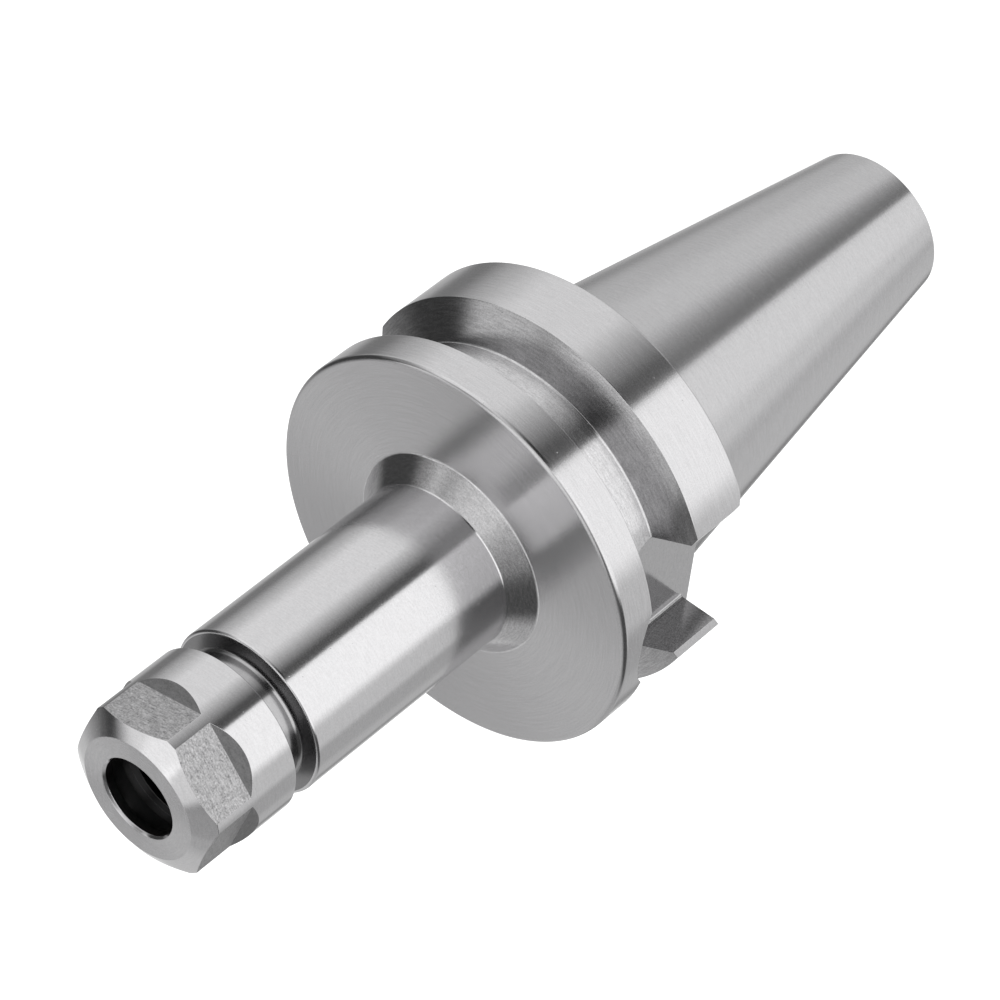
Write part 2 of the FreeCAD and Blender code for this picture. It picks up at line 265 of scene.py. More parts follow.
# %% Turn the holder body
EDGE = 0.12
FINE_EDGE = 0.07
SEAT_FILLET = 0.3
ROOT_FILLET = 0.5
THREAD_CREST_R = 7.0
NOSE_CHAMFER = 0.5
SOCKET_MOUTH_R = 5.5
SOCKET_BREAK = 0.15
SOCKET_SLOPE = math.tan(math.radians(8))
RELIEF_R = 3.8
SOCKET_DEPTH = 20.0
BORE_R = 3.5
TAP_R = 5.1
STUD_HOLE_DEPTH = 34.0
DRILL_POINT = math.tan(math.radians(59))
PILOT_R = 6.25
PILOT_DEPTH = 7.0
PILOT_CHAMFER = 0.8

groove_rise = (FLANGE_R - GROOVE_FLOOR_R) * math.tan(GROOVE_FLANK)
groove_back = GROOVE_CENTRE - GROOVE_HALF
groove_front = GROOVE_CENTRE + GROOVE_HALF
socket_back = NOSE_END - (SOCKET_MOUTH_R - RELIEF_R) / SOCKET_SLOPE
hole_bottom = SMALL_END + STUD_HOLE_DEPTH

holder = turn_piece("ground_holder_body", [
    (PILOT_R + PILOT_CHAMFER, SMALL_END, FINE_EDGE),
    (SMALL_R - TAPER_END_CHAMFER, SMALL_END),
    (SMALL_R + TAPER_END_CHAMFER * TAPER_SLOPE, SMALL_END + TAPER_END_CHAMFER),
    (GAUGE_R, 0),
    (GAUGE_R, FLANGE_BACK, SEAT_FILLET),
    (FLANGE_R - BACK_CHAMFER, FLANGE_BACK, EDGE),
    (FLANGE_R, FLANGE_BACK + BACK_CHAMFER, EDGE),
    (FLANGE_R, groove_back, EDGE),
    (GROOVE_FLOOR_R, groove_back + groove_rise, SEAT_FILLET),
    (GROOVE_FLOOR_R, groove_front - groove_rise, SEAT_FILLET),
    (FLANGE_R, groove_front, EDGE),
    (FLANGE_R, FLANGE_FRONT, RIM_RADIUS),
    (SHANK_R + ROOT_CONE, FLANGE_FRONT, ROOT_FILLET),
    (SHANK_R, FLANGE_FRONT + ROOT_CONE, SEAT_FILLET),
    (SHANK_R, SHANK_END, SHOULDER_RADIUS),
    (NECK_R, SHANK_END, NECK_FILLET),
    (NECK_R, NECK_END),
    (THREAD_CREST_R, NECK_END + NECK_R - THREAD_CREST_R),
    (THREAD_CREST_R, NOSE_END - NOSE_CHAMFER),
    (THREAD_CREST_R - NOSE_CHAMFER, NOSE_END, FINE_EDGE),
    (SOCKET_MOUTH_R + SOCKET_BREAK, NOSE_END, FINE_EDGE),
    (SOCKET_MOUTH_R - SOCKET_BREAK * SOCKET_SLOPE, NOSE_END - SOCKET_BREAK),
    (RELIEF_R, socket_back),
    (RELIEF_R, NOSE_END - SOCKET_DEPTH),
    (BORE_R, NOSE_END - SOCKET_DEPTH),
    (BORE_R, hole_bottom + (TAP_R - BORE_R) / DRILL_POINT),
    (TAP_R, hole_bottom),
    (TAP_R, SMALL_END + PILOT_DEPTH),
    (PILOT_R, SMALL_END + PILOT_DEPTH),
    (PILOT_R, SMALL_END + PILOT_CHAMFER),
])

# %% [markdown]
# ## Drive slots
#
# A spindle drives the holder with two keys, which sit in slots milled into the back of the flange.
# The end mill points at the tool axis, so a slot ends in a half circle that just nicks the front
# land. The cutter is a cylinder that points at the axis. Its lower half is moved down past the back
# face, which makes a long round-ended shape, and its inner rim is bevelled for the corner radius
# that an end mill leaves. A second, flared cutter breaks the edge along the mouth of the slot, and a
# third opens the walls at the back face, which leads a drive key in.

# %% Mill the two drive slots
SLOT_HALF = 8.05
SLOT_FLOOR = 16.3
SLOT_END = 19.5
SLOT_CORNER = 0.5
SLOT_CORNER_STEPS = 5
SLOT_SIDES = 96
SLOT_RUN = 14.0
CUTTER_OUTSIDE = 26.0
MOUTH_BREAK_X = 20.85
MOUTH_FLARE = 2.47
MOUTH_TOP = 10.2
MOUTH_BOTTOM = -2.0
LEAD_IN = 1.3
LEAD_IN_WIDTH = 2.6


def slot_cutter(name):
    """A long round-ended shape that points at the axis, with a small radius at its inner rim."""
    depth = CUTTER_OUTSIDE - SLOT_FLOOR
    centre = (SLOT_FLOOR + depth / 2, 0, SLOT_END - SLOT_HALF)
    bpy.ops.object.select_all(action="DESELECT")
    bpy.ops.mesh.primitive_cylinder_add(vertices=SLOT_SIDES, radius=SLOT_HALF, depth=depth,
                                        location=centre, rotation=(0, math.pi / 2, 0))
    cutter = start_piece(name)
    select_only(cutter, "verts", lambda v: v.co.z < centre[2] - HAIR)
    bpy.ops.transform.translate(value=(0, 0, -SLOT_RUN))
    select_only(cutter, "edges", lambda e: all(v.co.x < SLOT_FLOOR + HAIR for v in e.verts))
    bpy.ops.mesh.bevel(offset=SLOT_CORNER, segments=SLOT_CORNER_STEPS, affect="EDGES")
    close_piece()
    return cutter


def mouth_cutter(name):
    """A box that flares outwards, which breaks the edge along the mouth."""
    depth = CUTTER_OUTSIDE - MOUTH_BREAK_X
    height = MOUTH_TOP - MOUTH_BOTTOM
    bpy.ops.object.select_all(action="DESELECT")
    bpy.ops.mesh.primitive_cube_add(size=1, scale=(depth, 2 * SLOT_HALF, height),
                                    location=(MOUTH_BREAK_X + depth / 2, 0, MOUTH_TOP - height / 2))
    cutter = start_piece(name)
    select_only(cutter, "faces", lambda f: f.normal.x > ALONG_AXIS)
    widen = (SLOT_HALF + depth * MOUTH_FLARE) / SLOT_HALF
    bpy.ops.transform.resize(value=(1, widen, 1), center_override=(0, 0, 0))
    close_piece()
    return cutter


def lead_in_cutter(name):
    """A box that flares towards the back face, which opens both walls there."""
    depth = CUTTER_OUTSIDE - SLOT_FLOOR
    top = FLANGE_BACK + LEAD_IN
    height = top - MOUTH_BOTTOM
    bpy.ops.object.select_all(action="DESELECT")
    bpy.ops.mesh.primitive_cube_add(size=1, scale=(depth, 2 * SLOT_HALF, height),
                                    location=(SLOT_FLOOR + depth / 2, 0, top - height / 2))
    cutter = start_piece(name)
    select_only(cutter, "faces", lambda f: f.normal.z < -ALONG_AXIS)
    widen = (SLOT_HALF + height * LEAD_IN_WIDTH / LEAD_IN) / SLOT_HALF
    bpy.ops.transform.resize(value=(1, widen, 1), center_override=(0, 0, 0))
    close_piece()
    return cutter


def turn_about_axis(piece, angle):
    """Turn a cutter about the tool axis and write the turn into its mesh."""
    pick(piece)
    piece.rotation_euler = (0, 0, angle)
    bpy.ops.object.transform_apply(location=True, rotation=True, scale=True)


for side, angle in (("front", 0), ("back", math.pi)):
    for make in (slot_cutter, mouth_cutter, lead_in_cutter):
        tool = make(f"{make.__name__}_{side}")
        turn_about_axis(tool, angle)
        cut(holder, tool)

# %% [markdown]
# ## Threads
#
# A screw thread is a V-shaped groove that winds round the axis. A metric thread's V has 60 degrees,
# so its section is a circle with three vertices: an equal-sided triangle. The Screw modifier winds
# it into a helix, and a boolean cuts it from the metal. The nose thread starts in front of the neck
# and leaves the end of the nose, as a real one does. The thread for the pull stud is cut outwards
# from its bore.

# %% Cut the nose thread and the pull stud thread
ROOT_3 = math.sqrt(3)
NOSE_PITCH = 0.75
NOSE_ROOT_R = 6.47
NOSE_V_WIDTH = 0.73
STUD_PITCH = 1.75
STUD_ROOT_R = 6.15
STUD_V_WIDTH = 1.68
STUD_TURNS = 14
THREAD_STEPS = 72


def thread_cutter(name, tip_r, width, pitch, start, turns, inward):
    """A helix with a triangular section. Its tip points to the axis if inward is true."""
    side = -1 if inward else 1
    centre_r = tip_r - side * width / ROOT_3
    bpy.ops.object.select_all(action="DESELECT")
    bpy.ops.mesh.primitive_circle_add(vertices=3, radius=width / ROOT_3, location=(centre_r, 0, start),
                                      rotation=(math.pi / 2, side * math.pi / 2, 0))
    cutter = start_piece(name)
    close_piece()
    apply_modifier(cutter, "SCREW", axis="Z", angle=2 * math.pi, screw_offset=pitch, iterations=turns,
                   steps=THREAD_STEPS, render_steps=THREAD_STEPS, use_merge_vertices=False)
    bpy.ops.object.mode_set(mode="EDIT")
    bpy.ops.mesh.select_all(action="SELECT")
    bpy.ops.mesh.fill_holes(sides=0)
    bpy.ops.mesh.normals_make_consistent(inside=False)
    close_piece()
    return cutter


nose_start = NECK_END + NECK_R - THREAD_CREST_R + NOSE_V_WIDTH / 2
nose_turns = math.ceil((NOSE_END - nose_start) / NOSE_PITCH) + 1
cut(holder, thread_cutter("nose_thread", NOSE_ROOT_R, NOSE_V_WIDTH, NOSE_PITCH, nose_start,
                          nose_turns, inward=True))
cut(holder, thread_cutter("stud_thread", STUD_ROOT_R, STUD_V_WIDTH, STUD_PITCH,
                          SMALL_END + PILOT_DEPTH - STUD_V_WIDTH / 2, STUD_TURNS, inward=False))

# %% [markdown]
# ## The clamping nut
#
# The nut is turned like the body. Its front has a flat ring, a 30 degree cone and a plain round
# mouth. Inside are the cone that presses the collet, the lip that pulls it out, and the thread. The
# thread is drawn a little wide of the nose's, so that the two never cut into each other when the nut
# turns.

# %% Turn the nut
NUT_R = 9.5
NUT_BACK_CHAMFER = 0.1
NUT_FACE_R = 7.05
NUT_CONE = math.tan(math.radians(30))
NUT_THREAD_R = 7.05
NUT_SINK = 0.4
MOUTH_R = 4.45
MOUTH_CHAMFER = 0.25
MOUTH_LENGTH = 1.2
SEAT_R = 5.8
LIP_DEPTH = 5.1
LIP_THICKNESS = 0.8
LIP_R = 5.1
LIP_OFFSET = 0.55
LIP_STOCK = 0.2

cone_back = NUT_FACE - (NUT_R - NUT_FACE_R) * NUT_CONE
seat_front = NUT_FACE - MOUTH_LENGTH
seat_back = seat_front - (SEAT_R - MOUTH_R) / NUT_CONE
lip_back = NUT_FACE - LIP_DEPTH
lip_front = lip_back + LIP_THICKNESS
lip_stock_r = LIP_R - LIP_OFFSET - LIP_STOCK

nut = turn_piece("polished_clamping_nut", [
    (NUT_THREAD_R + NUT_SINK, NUT_BACK, FINE_EDGE),
    (NUT_R - NUT_BACK_CHAMFER, NUT_BACK, FINE_EDGE),
    (NUT_R, NUT_BACK + NUT_BACK_CHAMFER, FINE_EDGE),
    (NUT_R, cone_back, FINE_EDGE),
    (NUT_FACE_R, NUT_FACE, FINE_EDGE),
    (MOUTH_R + MOUTH_CHAMFER, NUT_FACE, FINE_EDGE),
    (MOUTH_R, NUT_FACE - MOUTH_CHAMFER, FINE_EDGE),
    (MOUTH_R, seat_front, FINE_EDGE),
    (SEAT_R, seat_back),
    (SEAT_R, lip_front),
    (lip_stock_r, lip_front),
    (lip_stock_r, lip_back),
    (NUT_THREAD_R, lip_back),
    (NUT_THREAD_R, NUT_BACK + NUT_SINK),
])

# %% [markdown]
# ## Flats, pulling lip and nut thread
#
# Six flats take the spanner. Behind each flat the milling cutter leaves a slope up to the round,
# which shows as a scallop. The cutter is a box whose outer, lower edge is moved down. It is made once
# for each flat and turned about the axis.

# %% Mill the flats and bore the lip
FLAT_COUNT = 6
FLAT_R = 8.5
FLAT_LENGTH = 6.1
FLAT_RUNOUT = 1.2
FIRST_FLAT = math.radians(43)
FLAT_CUTTER_TOP = 70.0
FLAT_CUTTER_OUTSIDE = 12.5
FLAT_CUTTER_WIDTH = 13.0
LIP_SIDES = 128
LIP_CUTTER_DEPTH = 3 * LIP_THICKNESS
NUT_ROOT_R = 7.4
NUT_V_WIDTH = 0.7
NUT_TURNS = 9
NUT_THREAD_LEAD = 0.3


def flat_cutter(name):
    """A box outside one flat. Its sloping underside leaves the scallop behind the flat."""
    low = NUT_FACE - FLAT_LENGTH
    size = (FLAT_CUTTER_OUTSIDE - FLAT_R, FLAT_CUTTER_WIDTH, FLAT_CUTTER_TOP - low)
    centre = ((FLAT_CUTTER_OUTSIDE + FLAT_R) / 2, 0, (FLAT_CUTTER_TOP + low) / 2)
    bpy.ops.object.select_all(action="DESELECT")
    bpy.ops.mesh.primitive_cube_add(size=1, scale=size, location=centre)
    cutter = start_piece(name)
    select_only(cutter, "verts", lambda v: v.co.x > FLAT_R + HAIR and v.co.z < low + HAIR)
    drop = size[0] * FLAT_RUNOUT / (NUT_R - FLAT_R)
    bpy.ops.transform.translate(value=(0, 0, -drop))
    close_piece()
    return cutter


for number in range(FLAT_COUNT):
    tool = flat_cutter(f"flat_cutter_{number + 1}")
    turn_about_axis(tool, FIRST_FLAT + number * 2 * math.pi / FLAT_COUNT)
    cut(nut, tool)

bpy.ops.object.select_all(action="DESELECT")
bpy.ops.mesh.primitive_cylinder_add(vertices=LIP_SIDES, radius=LIP_R, depth=LIP_CUTTER_DEPTH,
                                    location=(LIP_OFFSET, 0, (lip_back + lip_front) / 2))
tool = start_piece("lip_cutter")
close_piece()
turn_about_axis(tool, FIRST_FLAT)
cut(nut, tool)

cut(nut, thread_cutter("nut_thread", NUT_ROOT_R, NUT_V_WIDTH, NOSE_PITCH,
                       NUT_BACK - NUT_THREAD_LEAD, NUT_TURNS, inward=False))

# %% [markdown]
# ## Clean meshes and soft shading
#
# Booleans leave a few doubled points, which are merged before the normals are made to point
# outwards. Edges sharper than 22 degrees stay crisp. The Weighted Normal modifier then lets
# the large faces keep their own direction, so that the shading turns only within the small edge
# radii, as on real machined steel.

# %% Finish the meshes and bring them to metres
CRISP_EDGE = math.radians(22)
MERGE_CUTS = 0.0005
FACE_WEIGHT = 50


def finish_mesh(piece):
    """Merge doubled points, scale the piece to metres and set its shading."""
    pick(piece)
    bpy.ops.object.mode_set(mode="EDIT")
    bpy.ops.mesh.select_all(action="SELECT")
    bpy.ops.mesh.remove_doubles(threshold=MERGE_CUTS)
    bpy.ops.mesh.normals_make_consistent(inside=False)
    close_piece()
    piece.scale = (MM, MM, MM)
    bpy.ops.object.transform_apply(location=True, rotation=True, scale=True)
    bpy.ops.object.shade_smooth_by_angle(angle=CRISP_EDGE)
    apply_modifier(piece, "WEIGHTED_NORMAL", keep_sharp=True, weight=FACE_WEIGHT)
    low = [min(v.co[axis] for v in piece.data.vertices) / MM for axis in range(3)]
    high = [max(v.co[axis] for v in piece.data.vertices) / MM for axis in range(3)]
    print(piece.name, "box in mm", [round(x, 2) for x in low], [round(x, 2) for x in high])


finish_mesh(holder)
finish_mesh(nut)

# %% [markdown]
# ## Steel, as machining leaves it
#
# Both pieces are one kind of steel. What differs is the surface that each tool leaves: fine rings
# from turning and grinding, and a grain from blasting. A few finishes are darkened as painted shade:
# the bores, which are dark from oxide too, the V-groove's flank, the slot walls, the shoulder and
# the neck. Three effects are shared by the finishes, so each is a node group that takes the place on
# the piece in millimetres: the marks of a turning tool, a fine grain, and sparse nicks from handling.
# The rings are a noise that changes quickly with the radius and the height and slowly round the axis.

# %% Node helpers and shared groups
RING_DETAIL = 3.0
GRAIN_DETAIL = 2.0
GRAIN_ROUGHNESS = 0.6
PIT_CORE = 0.02
PIT_RIM = 0.055


def add_node(tree, kind, **settings):
    """Add a node and set its own properties."""
    node = tree.nodes.new(kind)
    for setting, value in settings.items():
        setattr(node, setting, value)
    return node


def math_node(tree, operation, first, second=None):
    """A Math node. Each input is a number or a socket."""
    node = add_node(tree, "ShaderNodeMath", operation=operation)
    for slot, value in enumerate((first, second)):
        if value is None:
            continue
        if isinstance(value, (int, float)):
            node.inputs[slot].default_value = value
        else:
            tree.links.new(value, node.inputs[slot])
    return node.outputs[0]


def new_material(name):
    """An empty node material and its tree."""
    material = bpy.data.materials.new(name)
    material.use_nodes = True
    material.node_tree.nodes.clear()
    return material, material.node_tree


def new_group(name, inputs, outputs):
    """A node group. An input without a default value is a vector."""
    tree = bpy.data.node_groups.new(name, "ShaderNodeTree")
    for label, default in inputs:
        kind = "NodeSocketVector" if default is None else "NodeSocketFloat"
        socket = tree.interface.new_socket(name=label, in_out="INPUT", socket_type=kind)
        if default is not None:
            socket.default_value = default
    for label in outputs:
        tree.interface.new_socket(name=label, in_out="OUTPUT", socket_type="NodeSocketFloat")
    source = tree.nodes.new("NodeGroupInput")
    sink = tree.nodes.new("NodeGroupOutput")
    return tree, source, sink


def make_turning_marks():
    """Rings round the tool axis. Place is in millimetres."""
    inputs = [("Place", None), ("Rings per mm", 6.0), ("Streaks", 10.0)]
    tree, source, sink = new_group("turning_marks", inputs, ["Height"])
    split = add_node(tree, "ShaderNodeSeparateXYZ")
    tree.links.new(source.outputs["Place"], split.inputs[0])
    x, y, z = split.outputs
    squares = math_node(tree, "ADD", math_node(tree, "MULTIPLY", x, x), math_node(tree, "MULTIPLY", y, y))
    radius = math_node(tree, "SQRT", squares)
    rings = source.outputs["Rings per mm"]
    streaks = source.outputs["Streaks"]
    join = add_node(tree, "ShaderNodeCombineXYZ")
    tree.links.new(math_node(tree, "MULTIPLY", math_node(tree, "DIVIDE", x, radius), streaks), join.inputs[0])
    tree.links.new(math_node(tree, "MULTIPLY", math_node(tree, "DIVIDE", y, radius), streaks), join.inputs[1])
    tree.links.new(math_node(tree, "MULTIPLY", radius, rings), join.inputs[2])
    noise = add_node(tree, "ShaderNodeTexNoise", noise_dimensions="4D")
    noise.inputs["Scale"].default_value = 1.0
    noise.inputs["Detail"].default_value = RING_DETAIL
    tree.links.new(join.outputs[0], noise.inputs["Vector"])
    tree.links.new(math_node(tree, "MULTIPLY", z, rings), noise.inputs["W"])
    tree.links.new(noise.outputs["Fac"], sink.inputs["Height"])
    return tree


def make_grain():
    """A fine grain with no direction. Place is in millimetres."""
    tree, source, sink = new_group("grain", [("Place", None), ("Grains per mm", 6.0)], ["Height"])
    noise = add_node(tree, "ShaderNodeTexNoise")
    noise.inputs["Detail"].default_value = GRAIN_DETAIL
    noise.inputs["Roughness"].default_value = GRAIN_ROUGHNESS
    tree.links.new(source.outputs["Place"], noise.inputs["Vector"])
    tree.links.new(source.outputs["Grains per mm"], noise.inputs["Scale"])
    tree.links.new(noise.outputs["Fac"], sink.inputs["Height"])
    return tree


def make_nicks():
    """Sparse tiny pits from handling: 1 inside a pit, 0 elsewhere. Place is in millimetres."""
    tree, source, sink = new_group("nicks", [("Place", None), ("Cells per mm", 0.8)], ["Depth"])
    cells = add_node(tree, "ShaderNodeTexVoronoi")
    tree.links.new(source.outputs["Place"], cells.inputs["Vector"])
    tree.links.new(source.outputs["Cells per mm"], cells.inputs["Scale"])
    pit = add_node(tree, "ShaderNodeMapRange")
    pit.inputs["From Min"].default_value = PIT_CORE
    pit.inputs["From Max"].default_value = PIT_RIM
    pit.inputs["To Min"].default_value = 1.0
    pit.inputs["To Max"].default_value = 0.0
    tree.links.new(cells.outputs["Distance"], pit.inputs["Value"])
    tree.links.new(pit.outputs[0], sink.inputs["Depth"])
    return tree


turning_marks = make_turning_marks()
grain = make_grain()
nicks = make_nicks()
print("groups:", [group.name for group in bpy.data.node_groups])

# %% [markdown]
# ## One recipe for every finish
#
# Each finish is a metallic Principled shader. Grooves that run round the axis spread light across
# themselves, so the shader is anisotropic with a tangent round the axis, and that is what draws the
# long bands on the shank and the fans on the flange face. The Bevel node rounds the last sharp edges
# in the shading only, which gives milled edges their thin bright line.

# %% The finishes
METRES_TO_MM = 1000
MICROMETRE = 1e-6
EDGE_GLINT = 0.09 * MM
GLINT_SAMPLES = 4
ROUND_THE_AXIS = 0.25
NOISE_LOW = 0.3
NOISE_HIGH = 0.7
ROUGHNESS_SWING = 0.15
STEEL_TINGE = (1.0, 0.993, 1.006)


def steel(name, shade, roughness, rings=6.0, ring_depth=0.0, streaks=10.0, grains=6.0, grain_depth=0.0,
          nick_depth=0.0, spread=0.0, tint=0.09):
    """A steel finish. Depths are in micrometres, spread is the anisotropy."""
    material, tree = new_material(name)
    place = add_node(tree, "ShaderNodeTexCoord")
    scale = add_node(tree, "ShaderNodeVectorMath", operation="SCALE")
    scale.inputs["Scale"].default_value = METRES_TO_MM
    tree.links.new(place.outputs["Object"], scale.inputs[0])

    marks = add_node(tree, "ShaderNodeGroup", node_tree=turning_marks)
    marks.inputs["Rings per mm"].default_value = rings
    marks.inputs["Streaks"].default_value = streaks
    speckle = add_node(tree, "ShaderNodeGroup", node_tree=grain)
    speckle.inputs["Grains per mm"].default_value = grains
    pits = add_node(tree, "ShaderNodeGroup", node_tree=nicks)
    for group in (marks, speckle, pits):
        tree.links.new(scale.outputs[0], group.inputs["Place"])

    ring_height = math_node(tree, "MULTIPLY", marks.outputs[0], ring_depth)
    grain_height = math_node(tree, "MULTIPLY", speckle.outputs[0], grain_depth)
    height = math_node(tree, "SUBTRACT", math_node(tree, "ADD", ring_height, grain_height),
                       math_node(tree, "MULTIPLY", pits.outputs[0], nick_depth))
    bevel = add_node(tree, "ShaderNodeBevel", samples=GLINT_SAMPLES)
    bevel.inputs["Radius"].default_value = EDGE_GLINT
    bump = add_node(tree, "ShaderNodeBump")
    bump.inputs["Strength"].default_value = 1.0
    bump.inputs["Distance"].default_value = MICROMETRE
    tree.links.new(height, bump.inputs["Height"])
    tree.links.new(bevel.outputs[0], bump.inputs["Normal"])

    mixed = math_node(tree, "ADD", math_node(tree, "MULTIPLY", marks.outputs[0], 0.5),
                      math_node(tree, "MULTIPLY", speckle.outputs[0], 0.5))
    ramp = add_node(tree, "ShaderNodeMapRange")
    ramp.inputs["From Min"].default_value = NOISE_LOW
    ramp.inputs["From Max"].default_value = NOISE_HIGH
    ramp.inputs["To Min"].default_value = shade * (1 - tint)
    ramp.inputs["To Max"].default_value = shade * (1 + tint)
    tree.links.new(mixed, ramp.inputs["Value"])
    colour = add_node(tree, "ShaderNodeCombineColor")
    for channel, factor in zip(colour.inputs, STEEL_TINGE):
        tree.links.new(math_node(tree, "MULTIPLY", ramp.outputs[0], factor), channel)
    rough = add_node(tree, "ShaderNodeMapRange")
    rough.inputs["To Min"].default_value = roughness * (1 - ROUGHNESS_SWING)
    rough.inputs["To Max"].default_value = roughness * (1 + ROUGHNESS_SWING)
    tree.links.new(mixed, rough.inputs["Value"])

    shader = add_node(tree, "ShaderNodeBsdfPrincipled")
    shader.inputs["Metallic"].default_value = 1.0
    shader.inputs["Anisotropic"].default_value = spread
    shader.inputs["Anisotropic Rotation"].default_value = ROUND_THE_AXIS
    tree.links.new(colour.outputs[0], shader.inputs["Base Color"])
    tree.links.new(rough.outputs[0], shader.inputs["Roughness"])
    tree.links.new(bump.outputs[0], shader.inputs["Normal"])
    if spread:
        tangent = add_node(tree, "ShaderNodeTangent", direction_type="RADIAL", axis="Z")
        tree.links.new(tangent.outputs[0], shader.inputs["Tangent"])
    output = add_node(tree, "ShaderNodeOutputMaterial")
    tree.links.new(shader.outputs[0], output.inputs["Surface"])
    return material


ground = steel("ground_taper", 0.55, 0.23, rings=5, ring_depth=1.0, grains=5, grain_depth=2.0,
               nick_depth=9.0, spread=0.75)
turned = steel("fine_turned", 0.72, 0.15, rings=6, ring_depth=0.7, grains=5, grain_depth=1.5,
               nick_depth=9.0, spread=0.5)
landed = steel("turned_land", 0.67, 0.16, rings=6, ring_depth=1.0, grains=7, grain_depth=2.0,
               nick_depth=9.0, spread=0.5, tint=0.12)
faced = steel("faced_rings", 0.64, 0.24, rings=6, ring_depth=2.0, streaks=5, grains=5, grain_depth=0.6,
              nick_depth=4.0, spread=1.0)
coned = steel("turned_root", 0.70, 0.17, rings=5, ring_depth=2.5, streaks=14, grains=6, grain_depth=1.5,
              spread=0.6, tint=0.25)
brushed = steel("brushed_groove", 0.64, 0.16, rings=5, ring_depth=3.0, streaks=16, grains=6,
                grain_depth=1.5, nick_depth=6.0, spread=0.6, tint=0.25)
# The V-groove's flank, and the sloping faces in the slots, are darker than the other brushed steel: painted
# shade for the groove walls that face each other.
painted_flank_shade = steel("brushed_flank_painted_shade", 0.47, 0.18, rings=5, ring_depth=3.5, streaks=14, grains=6,
                grain_depth=1.5, nick_depth=6.0, spread=0.6, tint=0.35)
milled = steel("milled_slot", 0.72, 0.14, grains=4, grain_depth=1.5, tint=0.12)
# The slot walls are the same milled steel as the floor. Their darker colour is painted shade for the dark
# surroundings deep in the slot.
slot_wall_painted_shade = steel("milled_wall_painted_shade", 0.31, 0.13, grains=5, grain_depth=2.5, tint=0.3)
# The bores are darkened partly for dark oxide and partly as painted shade for their depth. The nut's back
# face gets this too, as painted shade in the gap over the shoulder.
bore_oxide_and_shade = steel("bore_oxide_and_painted_shade", 0.16, 0.30, rings=4, ring_depth=3.0)
# The shoulder under the nut is darkened as painted shade for the narrow gap between body and nut.
shoulder_painted_shade = steel("turned_shoulder_painted_shade", 0.32, 0.26, rings=6, ring_depth=2.0)
# The neck is darker than the shank: painted shade for the gap under the nut's back edge.
neck_painted_shade = steel("turned_neck_painted_shade", 0.47, 0.15, rings=6, ring_depth=0.8)
threaded = steel("cut_thread", 0.50, 0.22, grains=5, grain_depth=1.0)
polished = steel("polished_nut", 0.71, 0.12, rings=5, ring_depth=0.5, grains=6, grain_depth=1.0,
                 nick_depth=9.0, spread=0.3)
blasted = steel("blasted_flat", 0.41, 0.34, grains=5.5, grain_depth=26.0, tint=0.6)
scalloped = steel("milled_runout", 0.27, 0.34, rings=4, ring_depth=2.0, grains=7, grain_depth=4.0, tint=0.3)
print("finishes:", [material.name for material in bpy.data.materials])

# %% [markdown]
# ## Which face gets which finish
#
# A face is sorted by where it is: its distance from the axis, its height, and which way it looks.
# This follows the order of machining, so the lists read like the outline of each piece. The limits
# for the way a face looks are shares of its normal along one direction.

# %% Sort the faces
LOOKS_INWARDS = -0.3
SQUARE_ON = 0.98
FRONT_ON = 0.95
ON_A_FLAT = 0.999
MOSTLY = 0.6
STEEP = 0.45
SLOPED = 0.3
LEANS_UP = 0.2
BARELY_UP = 0.05
CLEAR = 1.0


def ring_place(face):
    """Distance from the axis, height, and how far the face looks outwards and upwards."""
    x, y, z = face.center / MM
    radius = math.hypot(x, y)
    outwards = (face.normal.x * x + face.normal.y * y) / radius
    return radius, z, outwards, face.normal.z


def holder_finish(face):
    """The finish of one face of the body."""
    radius, z, outwards, upwards = ring_place(face)
    taper_r = GAUGE_R + z * TAPER_SLOPE
    if outwards < LOOKS_INWARDS and radius < PILOT_R + PILOT_CHAMFER:
        return bore_oxide_and_shade
    if z > NECK_END and radius < THREAD_CREST_R + EDGE:
        return threaded if outwards > 0 else bore_oxide_and_shade
    if z > NECK_END or radius < TAP_R + EDGE:
        return bore_oxide_and_shade
    if z < 0 and radius < taper_r - CLEAR:
        return faced if radius > PILOT_R + PILOT_CHAMFER else threaded
    if z < FLANGE_BACK - EDGE:
        return ground
    if abs(upwards) > ALONG_AXIS and radius > GAUGE_R - EDGE and radius < FLANGE_R:
        return faced
    x, y = (abs(face.center.x) / MM, abs(face.center.y) / MM)
    inside_slot = y < SLOT_HALF + CLEAR and x > SLOT_FLOOR - EDGE and z < SLOT_END + EDGE
    slot_floor = abs(face.normal.x) > SQUARE_ON
    if inside_slot and radius < FLANGE_R - EDGE and (slot_floor or outwards < MOSTLY):
        if slot_floor:
            return milled
        # The slot walls take the painted shade, and the slot floor takes the plain milled finish.
        return slot_wall_painted_shade if abs(upwards) < STEEP or abs(face.normal.y) > MOSTLY else painted_flank_shade
    if groove_back + EDGE < z < groove_front - EDGE and radius < FLANGE_R - EDGE:
        # The groove's flanks take the painted shade, and its floor takes the plain brushed finish.
        return painted_flank_shade if abs(upwards) > SLOPED and radius > GROOVE_FLOOR_R + EDGE else brushed
    # The shoulder and the neck sit under the nut, and both are darkened as painted shade.
    if z > SHANK_END - SHOULDER_RADIUS and radius < SHANK_R - SHOULDER_RADIUS:
        return neck_painted_shade if outwards > MOSTLY and radius < SHANK_R - CLEAR else shoulder_painted_shade
    if radius > SHANK_R + ROOT_CONE + CLEAR:
        return faced if upwards > SQUARE_ON else landed
    if z < FLANGE_FRONT + ROOT_CONE and radius > SHANK_R + EDGE:
        return faced if upwards > SQUARE_ON else coned
    return turned


